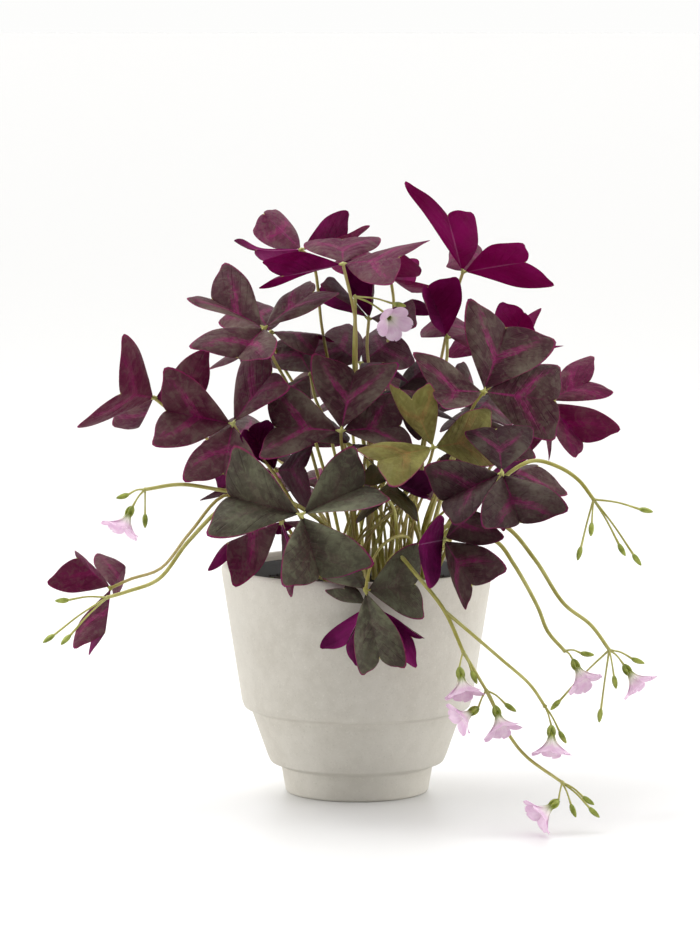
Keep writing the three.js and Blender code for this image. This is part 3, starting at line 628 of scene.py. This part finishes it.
def leaf_finish(name, brown, painted_sheen, chevron, chevron_share, pink, under_dark, under_light, glow):
    """A leaf: a dull dark upper face with a grey strip of painted reflection along each side, small patches
    and streaks of painted reflection, a feathered streak of magenta from the middle of the midrib towards
    each lobe, a fine margin and a pale dot in the notch; a magenta lower face with a pale midrib. Painted
    shade darkens every colour of a leaf that lies in shade. Light from behind shows through as magenta."""
    f = Finish(name)
    x, y = f.flat("blade")
    s, t = f.flat("vein")
    under, blush, deep = f.stored("under"), f.stored("blush"), f.stored("deep")
    where = f.place()
    ax = f.math("ABSOLUTE", x)
    feather = f.noise(f.join(f.math("MULTIPLY", s, 46.0), f.math("MULTIPLY", t, 3.5), f.noise(where, 30.0)),
                      1.0, 4.0, 0.65)
    cloud = f.noise(where, 55.0, 3.0, 0.55)
    grain = f.noise(where, 420.0, 3.0, 0.6)
    # the streaks
    drift = f.math("MULTIPLY", f.math("SUBTRACT", feather, 0.5), 0.36)
    q = f.math("ADD", f.math("SUBTRACT", f.math("SUBTRACT", y, 0.33), f.math("MULTIPLY", ax, 0.92)), drift)
    streak = f.math("MULTIPLY", f.step(q, -0.04, 0.02), f.step(q, 0.05, 0.14, 1.0, 0.0))
    reach = f.math("ADD", ax, f.math("MULTIPLY", drift, 0.8))
    streak = f.math("MULTIPLY", streak, f.step(reach, 0.2, 0.44, 1.0, 0.0))
    streak = f.math("MULTIPLY", streak, f.step(cloud, 0.25, 0.6, 0.55, 1.0))
    fine_lines = f.join(f.math("MULTIPLY", s, 150.0), f.math("MULTIPLY", t, 7.0), f.noise(where, 30.0))
    thread = f.noise(fine_lines, 1.0, 3.0, 0.6)
    streak = f.math("MULTIPLY", streak, f.step(thread, 0.36, 0.56, 0.25, 1.0))
    # the upper face
    # a grey strip of painted reflection along each side of the upper face
    painted_sheen_band = f.math("MULTIPLY", f.step(t, 0.25, 0.7), f.step(y, 0.75, 0.35))
    painted_sheen_band = f.math("MULTIPLY", f.math("ADD", f.math("MULTIPLY", painted_sheen_band, 0.7), 0.3), f.step(cloud, 0.3, 0.65))
    top = f.blend(painted_sheen_band, brown, painted_sheen)
    top = f.blend(f.math("MULTIPLY", blush, f.step(cloud, 0.3, 0.7, 0.95, 0.6)), top, pink)
    rib_line = f.math("MULTIPLY", f.step(t, 0.012, 0.05, 1.0, 0.0), f.step(y, 0.25, 0.5, 0.75, 0.15))
    top = f.blend(f.math("MULTIPLY", streak, chevron_share), top, chevron)
    top = f.blend(f.math("MULTIPLY", rib_line, chevron_share), top, chevron)
    vein = f.math("ABSOLUTE", f.math("SINE", f.math("MULTIPLY", s, 31.0)))
    vein = f.math("MAXIMUM", f.step(vein, 0.0, 0.3), f.step(cloud, 0.4, 0.6))
    top = f.blend(f.step(vein, 0.0, 1.0, 0.16, 0.0), top, (0.0, 0.0, 0.0, 1.0))
    # patches of painted grey reflection and of the leaf's own brown
    painted_sheen_and_brown_mottle = f.noise(where, 260.0, 4.0, 0.65, 0.8)
    top = f.blend(f.step(painted_sheen_and_brown_mottle, 0.48, 0.62, 0.0, 0.3), top, painted_sheen)
    top = f.blend(f.step(painted_sheen_and_brown_mottle, 0.5, 0.38, 0.0, 0.35), top, brown)
    top = f.blend(f.step(t, 0.945, 0.985, 0.0, 0.75), top, colour("8c1a54"))
    # streaks of painted grey reflection and of brown along the feathering
    top = f.blend(f.step(feather, 0.5, 0.75, 0.0, 0.12), top, painted_sheen)
    top = f.blend(f.step(feather, 0.5, 0.3, 0.0, 0.16), top, brown)
    # painted shade: the upper face of a leaf in shade is darkened towards black
    top = f.blend(f.math("MULTIPLY", deep, 0.8), top, (0.006, 0.002, 0.004, 1.0))
    # the lower face
    low = f.blend(f.step(cloud, 0.3, 0.7), under_dark, under_light)
    low = f.blend(f.step(vein, 0.0, 1.0, 0.3, 0.0), low, under_dark)
    low = f.blend(f.step(t, 0.015, 0.035, 0.6, 0.0), low, colour("c98ab4"))
    # painted shade on the lower face of a leaf in shade
    low = f.blend(f.math("MULTIPLY", deep, 0.6), low, (0.02, 0.0, 0.006, 1.0))
    both = f.blend(f.step(under, 0.3, 0.6), top, low)
    notch = f.math("MULTIPLY", f.step(s, 0.972, 0.99), f.step(y, 0.6, 0.62))
    both = f.blend(f.math("MULTIPLY", notch, f.step(t, 0.0, 1.0, 0.8, 0.5)), both, colour("c9c46a"))
    crumple = f.noise(where, 130.0, 4.0, 0.6, 0.6)
    relief = f.math("ADD", f.math("MULTIPLY", vein, 0.35), f.math("MULTIPLY", grain, 0.25))
    relief = f.math("ADD", relief, f.math("MULTIPLY", crumple, 1.1))
    relief = f.math("ADD", relief, f.math("MULTIPLY", feather, 0.3))
    bump = f.bump(relief, 0.7, 0.0011)
    skin = f.node("ShaderNodeBsdfPrincipled", {
        "Base Color": both, "Roughness": f.step(grain, 0.2, 0.8, 0.48, 0.66), "Normal": bump,
        "Specular IOR Level": 0.14}).outputs[0]
    # painted shade also darkens the light that shows through a leaf in shade
    through = f.node("ShaderNodeBsdfTranslucent", {"Color": f.blend(f.math("MULTIPLY", deep, 0.7), glow,
                     (0.02, 0.0, 0.01, 1.0)), "Normal": bump}).outputs[0]
    share = f.math("ADD", f.math("MULTIPLY", blush, 0.3), f.step(under, 0.0, 1.0, 0.07, 0.3))
    return f.finish(f.node("ShaderNodeMixShader", {0: share, 1: skin, 2: through}).outputs[0])


def plain_finish(name, light, dark, scale, rough, specks=None, bump_size=0.0003, bump_share=0.3):
    """A finish of two mixed tones, with fine grain in its relief and, if asked, pale or dark specks."""
    f = Finish(name)
    where = f.place()
    cloud = f.noise(where, scale, 4.0, 0.6)
    grain = f.noise(where, scale * 9, 3.0, 0.6)
    tone = f.blend(f.step(cloud, 0.32, 0.68), dark, light)
    if specks:
        tone = f.blend(f.step(grain, 0.62, 0.75, 0.0, 0.6), tone, specks)
    bump = f.bump(grain, bump_share, bump_size)
    skin = f.node("ShaderNodeBsdfPrincipled", {"Base Color": tone, "Roughness": f.step(cloud, 0.2, 0.8,
                  rough - 0.06, rough + 0.06), "Normal": bump}).outputs[0]
    return f.finish(skin)


def pot_finish():
    """Matte slip-cast ceramic: a warm grey with soft cloudy mottling and fine pale and dark grain,
    rough to the touch."""
    f = Finish("mottled ceramic")
    where = f.place()
    broad = f.noise(where, 14.0, 3.0, 0.55)
    fine = f.noise(where, 140.0, 5.0, 0.65)
    grit = f.noise(where, 1100.0, 2.0, 0.5)
    tone = f.blend(f.step(broad, 0.3, 0.7), colour("bdb8ad"), colour("c9c5bb"))
    tone = f.blend(f.step(fine, 0.3, 0.7, 0.0, 0.35), tone, colour("d6d2c9"))
    tone = f.blend(f.step(grit, 0.62, 0.75, 0.0, 0.25), tone, colour("8f897d"))
    tone = f.blend(f.step(grit, 0.3, 0.4, 0.2, 0.0), tone, colour("e6e3da"))
    relief = f.math("ADD", f.math("MULTIPLY", fine, 0.6), f.math("MULTIPLY", grit, 0.4))
    return f.finish(f.node("ShaderNodeBsdfPrincipled", {
        "Base Color": tone, "Roughness": f.step(fine, 0.2, 0.8, 0.62, 0.8),
        "Normal": f.bump(relief, 0.35, 0.0004), "Specular IOR Level": 0.35}).outputs[0])


def stem_finish():
    """A juicy stem: yellow-green and faintly pink in places, paler towards its foot, letting light in."""
    f = Finish("stem")
    where, along = f.place(), f.stored("along")
    pinkish = f.stored("pinkish")
    cloud = f.noise(where, 60.0, 3.0, 0.6)
    fibre = f.noise(where, 500.0, 2.0, 0.6)
    tone = f.blend(f.step(cloud, 0.3, 0.7), colour("a8a248"), colour("d6d488"))
    tone = f.blend(f.math("MULTIPLY", pinkish, f.step(cloud, 0.25, 0.75, 0.5, 1.0)), tone, colour("a87860"))
    tone = f.blend(f.step(along, 0.0, 0.25, 0.35, 0.0), tone, colour("d3cf9d"))
    bump = f.bump(fibre, 0.25, 0.0002)
    skin = f.node("ShaderNodeBsdfPrincipled", {"Base Color": tone, "Roughness": 0.42, "Normal": bump,
                  "Specular IOR Level": 0.5}).outputs[0]
    through = f.node("ShaderNodeBsdfTranslucent", {"Color": f.blend(0.5, tone, colour("d8d88a"))}).outputs[0]
    return f.finish(f.node("ShaderNodeMixShader", {0: 0.3, 1: skin, 2: through}).outputs[0])


def bud_finish():
    """A bud or calyx: fresh yellow-green with fine lines along it, and small brownish tips."""
    f = Finish("bud")
    where, along = f.place(), f.stored("along")
    cloud = f.noise(where, 260.0, 3.0, 0.6)
    tone = f.blend(f.step(cloud, 0.3, 0.7), colour("7d8a2c"), colour("b4be5a"))
    tone = f.blend(f.step(along, 0.78, 1.0, 0.0, 0.55), tone, colour("d2cf9a"))
    tone = f.blend(f.step(along, 0.93, 1.0, 0.0, 0.6), tone, colour("8a5a3a"))
    skin = f.node("ShaderNodeBsdfPrincipled", {"Base Color": tone, "Roughness": 0.45,
                  "Normal": f.bump(cloud, 0.3, 0.0003)}).outputs[0]
    through = f.node("ShaderNodeBsdfTranslucent", {"Color": tone}).outputs[0]
    return f.finish(f.node("ShaderNodeMixShader", {0: 0.22, 1: skin, 2: through}).outputs[0])


def petal_finish():
    """A thin petal: pale pink with fine deeper veins, white towards the throat and green within it."""
    f = Finish("petal")
    x, v = f.flat("petal")
    where = f.place()
    cloud = f.noise(where, 180.0, 3.0, 0.6)
    lines = f.noise(f.join(f.math("MULTIPLY", x, 16.0), f.math("MULTIPLY", v, 1.2)), 1.0, 2.0, 0.5)
    tone = f.blend(f.step(cloud, 0.3, 0.7), colour("eccfe6"), colour("f8e8f4"))
    tone = f.blend(f.math("MULTIPLY", f.step(lines, 0.5, 0.68, 0.0, 0.45), f.step(v, 0.3, 0.7)), tone,
                   colour("d8a2d0"))
    tone = f.blend(f.step(v, 0.35, 0.7, 1.0, 0.0), tone, colour("faf7f2"))
    tone = f.blend(f.step(v, 0.16, 0.4, 1.0, 0.0), tone, colour("b3c23a"))
    skin = f.node("ShaderNodeBsdfPrincipled", {"Base Color": tone, "Roughness": 0.5,
                  "Normal": f.bump(lines, 0.3, 0.0002)}).outputs[0]
    through = f.node("ShaderNodeBsdfTranslucent", {"Color": tone}).outputs[0]
    return f.finish(f.node("ShaderNodeMixShader", {0: 0.4, 1: skin, 2: through}).outputs[0])


MAGENTA = dict(under_dark=colour("4a0238"), under_light=colour("8c1468"), glow=colour("b60a88"))
# the second colour given to each leaf finish is a painted grey reflection on its upper face
leaf_looks = {
    "leaf": leaf_finish("purple leaf", colour("36171e"), colour("6a6254"), colour("961f66"), 0.9,
                        colour("6e0648"), **MAGENTA),
    "leaf_green": leaf_finish("green leaf", colour("35382a"), colour("6c7158"), colour("6a4a4e"), 0.25,
                              colour("6e0648"), **MAGENTA),
    "leaf_olive": leaf_finish("olive leaf", colour("5c5e24"), colour("8a8a4a"), colour("a06440"), 0.45,
                              colour("9a1058"), **MAGENTA),
}
stem_look, bud_look, petal_look = stem_finish(), bud_finish(), petal_finish()

# ---------------------------------------------------------------- building the plant
SEED = 11
draw = np.random.default_rng(SEED)


def shifted(patches, by):
    """The patches moved by a vector."""
    for p in patches:
        p["points"] = p["points"] + np.asarray(by, float)
    return patches


def build_leaf(name, hub, leaflets):
    """One leaf: its three leaflets on their hub as one piece, and its petiole as another."""
    hub = np.array(hub, float)
    node = f"leaf_{name}"
    slot = LEAF_SLOTS.get(name, "leaf")
    blades = [p for left, right, fold, *share in leaflets
              for p in leaflet(left, right, fold, (share or [NOTCH_REACH])[0], draw,
                               BLUSH.get(name, 0.1), DEEP.get(name, 0.0))]
    make_piece(f"blade_{name}", shifted(blades, hub), [leaf_looks[slot]], [node])
    start = take_spot(hub)
    axis = unit(sum(unit(np.cross(b, a)) for a, b, *_ in leaflets))
    rise = start + 0.3 * (hub - start) + (0, 0, 0.12 * (hub[2] - start[2]))
    middle = start + 0.66 * (hub - start) + (0, 0, 0.1 * (hub[2] - start[2]))
    below = (hub - 7 * axis) * 0.75 + middle * 0.25
    ways = [start, *np.array(PETIOLE_WAYS[name], float), hub] if name in PETIOLE_WAYS else [
        start, rise, middle, below, hub]
    petiole = stem(ways, (1.0, 0.9, 0.85, 0.8, 0.75, 0.8), 8, 40, pinkish=draw.uniform(0, 0.55))
    ball = turned([(0.0, -1.4), (0.8, -1.0), (1.2, -0.2), (1.0, 0.6), (0.45, 1.0), (0.0, 1.1)], 10, hub, axis,
                  pinkish=0.0)
    stubs = [stem([hub, hub + 1.3 * r, hub + 2.6 * r], (1.0, 0.75, 0.3), 6, 5, pinkish=0.0)
             for r in (unit(unit(a) + unit(b)) for a, b, *_ in leaflets)]
    make_piece(f"petiole_{name}", [petiole, ball, *stubs], [stem_look], [node])


# Radius and height of a bud and of the green cup under a flower.
BUD_PROFILE = [(0, 0), (0.75, 0.4), (1.15, 1.4), (1.35, 2.6), (1.25, 4.0), (0.95, 5.4), (0.55, 6.4),
               (0.2, 6.9), (0, 7.0)]
CUP_PROFILE = [(0, 0), (0.9, 0.4), (1.45, 1.3), (1.6, 2.4), (1.5, 3.4), (1.1, 3.9), (0, 4.0)]


def sepals(at, axis, long=5.2):
    """Five pointed green leaves that clasp the foot of a flower: each is a narrow stem with a swollen
    middle, leaning outwards."""
    axis = unit(axis)
    across, other = square_to(axis)
    parts = []
    for k in range(PETALS):
        a = 2 * math.pi * k / PETALS
        side = math.cos(a) * across + math.sin(a) * other
        parts.append(stem([at + 0.5 * side, at + 1.45 * side + 0.35 * long * axis,
                           at + 1.75 * side + 0.7 * long * axis, at + 1.6 * side + long * axis],
                          (0.5, 0.75, 0.6, 0.15), 6, 8, 1, pinkish=0.0))
    return parts


def pedicel(start, end, drop):
    """A thin curved stalk between two points, bent upwards by the drop in its middle."""
    middle = (start + end) / 2 + (0, 0, drop)
    return stem([start, middle, end], (0.6, PEDICEL_R, PEDICEL_R, 0.6), 6, 9, pinkish=0.0)


def flower(name, calyx, mouth, size, draw):
    """A five-petalled corolla. A petal is a sheet over its length and width: its middle line leaves the
    narrow throat, runs along the flower's axis and flares outwards; its width grows to a broad, softly
    notched end; its edges lift and overlap the next petal's."""
    at = np.array(calyx, float)
    axis = unit(np.array(mouth, float) - at)
    across, other = square_to(axis)
    v = np.concatenate([np.linspace(0, 0.85, 13), [0.91, 0.96, 0.985, 1.0]])[:, None]
    u = np.array([-1, -0.93, -0.75, -0.5, -0.25, 0, 0.25, 0.5, 0.75, 0.93, 1])[None, :]
    patches = []
    for k in range(PETALS):
        a = 2 * math.pi * k / PETALS + draw.uniform(-0.06, 0.06)
        side = math.cos(a) * across + math.sin(a) * other
        round_ = np.cross(axis, side)
        long = size * draw.uniform(0.94, 1.05)
        flare = draw.uniform(0.9, 1.1)
        radius = 0.9 + 1.2 * v + 7.0 * flare * np.clip(v - 0.3, 0, 1) ** 1.5 / 0.7**1.5 * (long / 10)
        height = 1.0 + 12.0 * (long / 10) * np.sin(np.clip(v, 0, 1) * 1.35) / math.sin(1.35) * 0.9
        wide = (0.75 + 3.3 * np.clip((v - 0.15) / 0.6, 0, 1) ** 1.2) * (long / 10)
        wide = wide * np.sqrt(np.clip(1 - np.clip((v - 0.74) / 0.262, 0, 1) ** 2.6, 0, 1))
        dent = 0.35 * np.exp(-((u / 0.35) ** 2)) * np.clip((v - 0.85) / 0.15, 0, 1)
        curl = 0.35 * u**2 * np.clip((v - 0.3) / 0.5, 0, 1)
        ripple = 0.22 * np.sin(5 * u + 4 * v + k) * v**2
        skew = 0.35 * v * u
        rise = height - 0.5 * dent + curl + ripple + skew
        points = (at + (radius - dent)[..., None] * side + rise[..., None] * axis
                  + (wide * u)[..., None] * round_)
        normal = unit(np.cross(np.gradient(points, axis=0), np.gradient(points, axis=1)))
        thin = (0.16 * np.sqrt(np.clip(1 - u**4, 0, 1)) * np.sqrt(np.clip(1 - v**8, 0, 1)))[..., None]
        flat = np.stack([np.broadcast_to(u, (v.shape[0], u.shape[1])),
                         np.broadcast_to(v, (v.shape[0], u.shape[1]))], axis=-1)
        patches += [patch(points, 0, petal=flat), patch(points + thin * normal, 0, petal=flat)]
    make_piece(f"corolla_{name}", patches, [petal_look], [f"flower_{name}"])
    heart = [turned([(0, 0.5), (1.1, 1.0), (1.3, 3.2), (0.9, 4.0), (0, 4.2)], 12, at, axis, 5, 0.1, 1,
                    pinkish=0.0)]
    for k in range(PETALS):
        a = 2 * math.pi * (k + 0.5) / PETALS
        side = math.cos(a) * across + math.sin(a) * other
        heart.append(stem([at + 3.0 * axis + 0.5 * side, at + 5.2 * axis + 0.75 * side,
                           at + 6.2 * axis + 0.9 * side], (0.22, 0.2, 0.42, 0.1), 6, 6, 1, pinkish=0.0))
    return heart


PETALS = 5
PETAL_LENGTH = 12
FLOWER_SIZES = {"crown": 10.5, "front_small": 10, "left": 11.5}  # petals of another length


def build_stalk(name, stalk):
    """One flower stalk: its scape and branches, a pedicel for each bud and flower, buds and sepals."""
    scape = [take_spot(np.array(stalk["scape"][0], float)), *np.array(stalk["scape"], float)]
    parts = [stem(scape, (1.2, 1.1, 1.0, 0.9), 8, 12 * len(scape), pinkish=0.1)]
    branches = [dict(stalk, end=scape[-1])] + [dict(b, end=np.array(b["by"][-1], float))
                                               for b in stalk.get("branches", [])]
    for branch in branches:
        end = np.array(branch["end"], float)
        if "from" in branch:
            way = np.array([branch["from"], *branch["by"]], float)
            parts.append(stem(way, (0.9, 0.8, 0.75), 8, 8 * len(way), pinkish=0.1))
        for bud in branch["buds"]:
            at = np.array(bud, float)
            parts.append(pedicel(end, at, 1))
            foot = at - 0.4 * unit(at - end)
            parts.append(turned(BUD_PROFILE, 10, foot, at - end, 5, 0.08, 1, pinkish=0.0))
        for flower_name, (calyx, mouth) in branch["flowers"].items():
            at = np.array(calyx, float)
            axis = unit(np.array(mouth, float) - at)
            parts.append(pedicel(end, at, 1))
            parts.append(turned(CUP_PROFILE, 10, at - 0.4 * axis, axis, 5, 0.12, 1, pinkish=0.0))
            parts += sepals(at, axis)
            parts += flower(flower_name, calyx, mouth, FLOWER_SIZES.get(flower_name, PETAL_LENGTH), draw)
        parts.append(turned([(0, -1.2), (0.9, -0.6), (1.15, 0), (0.9, 0.6), (0, 1.2)], 8, end, pinkish=0.0))
    make_piece(f"stalk_{name}", parts, [stem_look, bud_look], [f"stalk_{name}"])


for stalk_name, stalk_plan in STALKS.items():
    build_stalk(stalk_name, stalk_plan)
for leaf_name, leaf_plan in LEAVES.items():
    build_leaf(leaf_name, leaf_plan["hub"], leaf_plan["leaflets"])


def young_stems(count):
    """More petioles of the rosette's core, whose small leaves are lost in the canopy: each leaves the
    crown, bends outwards and ends at a point of a wide low dome, drawn at random from its front part."""
    parts = []
    for k in range(count):
        turn, reach = draw.uniform(-2.6, -0.5), draw.uniform(12, 40)
        foot = np.array([CROWN[0] + draw.uniform(-24, 24), CROWN[1] + draw.uniform(-22, 14), SOIL_TOP - 1.5])
        tip = np.array([CROWN[0] + reach * math.cos(turn) + 8, CROWN[1] + 0.7 * reach * math.sin(turn),
                        draw.uniform(146, 172)])
        bend = foot + 0.5 * (tip - foot) * (0.7, 0.7, 1.15)
        parts.append(stem([foot, bend, tip], (0.85, 0.75, 0.65, 0.6), 6, 14, pinkish=draw.uniform(0, 0.7)))
        parts.append(turned([(0, -1.0), (0.8, -0.4), (0.9, 1.0), (0.4, 3.0), (0, 4.2)], 6, tip, tip - bend,
                            pinkish=0.4))
    make_piece("young_stems", parts, [stem_look])


young_stems(34)

# ---------------------------------------------------------------- pot, liner and soil
POT_SIDES = 180
SOIL_R = 57.0
EDGE_DIP = 2.0  # how far the soil falls towards its edge, over the last stretch
DIP_FROM = 40
DIP_OVER = 17
POT_OUTSIDE = [(0, 0), (34.8, 0), (35.8, 1), (38, 13.5), (43.4, 15.6), (44.9, 19), (53, 42), (56.4, 43.2),
               (57.6, 46.5), (67.8, 112), (67.2, 114), (64.4, 114), (63, 112), (53.6, 45), (48.6, 41),
               (41.4, 18), (38.5, 14), (34, 13), (31.5, 5), (0, 5)]


def fine_profile(corners, radius, gap=4.0):
    """A profile with rounded corners and extra points on its long straight runs."""
    p = rounded(corners, radius)
    pieces = []
    for a, b in zip(p[:-1], p[1:]):
        count = max(1, int(np.linalg.norm(b - a) // gap))
        pieces.append(a + (b - a) * np.arange(count)[:, None] / count)
    return np.concatenate([*pieces, p[-1:]])


make_piece("pot_shell", [turned(fine_profile(POT_OUTSIDE, 0.8), POT_SIDES)], [pot_finish()], ["pot"])
LINER = [(0, 14.4), (37.6, 14.4), (39.4, 16), (60.4, 108), (61.6, 108.6), (61.7, 110.3), (59.4, 110.7),
         (59, 108), (38, 17), (0, 15.6)]
liner_look = plain_finish("liner plastic", colour("2a2826"), colour("1a1817"), 90, 0.5)
make_piece("liner_shell", [turned(fine_profile(LINER, 0.5), 128)], [liner_look], ["nursery_pot"])


def soil_surface():
    """The soil: a lumpy disc that dips to its edge, over the plug below it. Its height adds slow swells to
    fine crumbs, both sums of sines with random directions."""
    r = np.linspace(0, SOIL_R, 60)[:, None]
    turn = np.linspace(0, 2 * math.pi, 160, endpoint=False)[None, :]
    x, y = r * np.cos(turn), r * np.sin(turn)
    height = SOIL_TOP - EDGE_DIP * np.clip((r - DIP_FROM) / DIP_OVER, 0, 1) ** 1.5
    waves = draw.normal(size=(26, 2)) * np.geomspace(0.08, 1.6, 26)[:, None]
    starts = draw.uniform(0, 6.28, 26)
    sizes = np.geomspace(0.5, 0.12, 26)
    lumps = sum(size * np.sin(x * w[0] + y * w[1] + c) for w, c, size in zip(waves, starts, sizes))
    height = np.broadcast_to(height, x.shape) + 0.75 * lumps * np.clip((SOIL_R - r) / 3, 0, 1)
    top = np.stack([x, y, height], axis=-1)
    under = [(SOIL_R, SOIL_TOP - EDGE_DIP), (37.2, 17.4), (0, 16.2)]
    return [patch(top, 0, True), turned(under, 160)]


soil_look = plain_finish("potting soil", colour("3a2a20"), colour("150e0a"), 320, 0.85, colour("6a5238"),
                         0.0012, 0.9)
make_piece("soil_plug", soil_surface(), [soil_look], ["soil"], meet=0.02)


def crumbs(count, low, high, near, far, where=None):
    """Many small angular lumps on the soil: one stretched eight-sided stone copied to every place."""
    stone = np.array([(1, 0, 0), (-1, 0, 0), (0, 1, 0), (0, -1, 0), (0, 0, 1), (0, 0, -1)], float)
    sides = np.array([(0, 2, 4), (2, 1, 4), (1, 3, 4), (3, 0, 4), (2, 0, 5), (1, 2, 5), (3, 1, 5), (0, 3, 5)])
    turn = draw.uniform(*(where or (0, 2 * math.pi)), count)
    r = np.sqrt(draw.uniform(near**2, far**2, count))
    size = draw.uniform(low, high, (count, 1, 3)) * draw.uniform(0.6, 1.3, (count, 6, 1))
    level = SOIL_TOP - EDGE_DIP * np.clip((r - DIP_FROM) / DIP_OVER, 0, 1) ** 1.5 + 0.3
    centre = np.stack([r * np.cos(turn), r * np.sin(turn), level], axis=1)
    twist = draw.normal(size=(count, 3, 3))
    twist = np.linalg.qr(twist)[0]
    twist *= np.sign(np.linalg.det(twist))[:, None, None]
    points = centre[:, None] + np.einsum("nij,nkj->nki", twist, stone[None] * size)
    faces = (sides[None] + 6 * np.arange(count)[:, None, None]).reshape(-1, 3)
    return points.reshape(-1, 3), faces


def scatter(name, points, faces, look, slot):
    """A piece of loose crumbs, already closed and facing outwards."""
    mesh = bpy.data.meshes.new(name)
    mesh.from_pydata(points * MM, [], faces.tolist())
    mesh.materials.append(look)
    piece = show(name, mesh)
    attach(piece, "root")


scatter("soil_crumbs", *crumbs(1500, 0.35, 1.25, 0, 56.2), soil_look, "soil")
moss_look = plain_finish("moss", colour("7a8a3a"), colour("3c4a1a"), 500, 0.8, None, 0.0008, 0.8)
scatter("moss_bits", *crumbs(500, 0.3, 0.9, 44, 56.0, (2.7, 4.9)), moss_look, "soil")

# ---------------------------------------------------------------- floor, world and lights
floor_mesh = bpy.data.meshes.new("floor")
floor_mesh.from_pydata([(-30, -30, 0), (30, -30, 0), (30, 30, 0), (-30, 30, 0)], [], [(0, 1, 2, 3)])
floor = show("floor", floor_mesh)
f = Finish("pale floor")
floor_mesh.materials.append(f.finish(f.node("ShaderNodeBsdfPrincipled", {
    "Base Color": (0.76, 0.76, 0.757, 1.0), "Roughness": 0.4, "Specular IOR Level": 0.3}).outputs[0]))

world = bpy.data.worlds.new("studio")
bpy.context.scene.world = world
world.use_nodes = True
sky = world.node_tree
sky.nodes.clear()


def sky_node(kind, inputs=(), **settings):
    return add_node(sky, kind, inputs, **settings)


direction = sky_node("ShaderNodeSeparateXYZ", {0: sky_node("ShaderNodeTexCoord").outputs["Generated"]})
behind = sky_node("ShaderNodeMapRange", {"Value": direction.outputs[1], "From Min": -1.0, "From Max": 0.0,
                  "To Min": 0.04, "To Max": 1.42}, interpolation_type="LINEAR")
seen = sky_node("ShaderNodeBackground", {"Color": (0.985, 0.985, 0.975, 1.0), "Strength": 1.0})
lit = sky_node("ShaderNodeBackground", {"Color": (1.0, 0.995, 0.985, 1.0), "Strength": behind.outputs[0]})
ray = sky_node("ShaderNodeLightPath")
both = sky_node("ShaderNodeMixShader", {0: ray.outputs["Is Camera Ray"], 1: lit.outputs[0],
                2: seen.outputs[0]})
sky.links.new(both.outputs[0], sky_node("ShaderNodeOutputWorld").inputs[0])


def soft_light(name, at, aim, size, power):
    """A square soft light at one point, turned to face another."""
    lamp = bpy.data.lights.new(name, "AREA")
    lamp.size = size
    lamp.energy = power
    holder = show(name, lamp)
    holder.location = at
    holder.rotation_euler = (Vector(aim) - Vector(at)).to_track_quat("-Z", "Y").to_euler()


soft_light("top soft light", (-0.5, 0.3, 1.6), (0, 0, 0.15), 1.0, 14)
soft_light("left soft light", (-1.5, -0.25, 0.35), (0, 0, 0.1), 0.9, 9)
soft_light("right soft light", (1.5, -0.2, 0.35), (0, 0, 0.1), 0.9, 9)
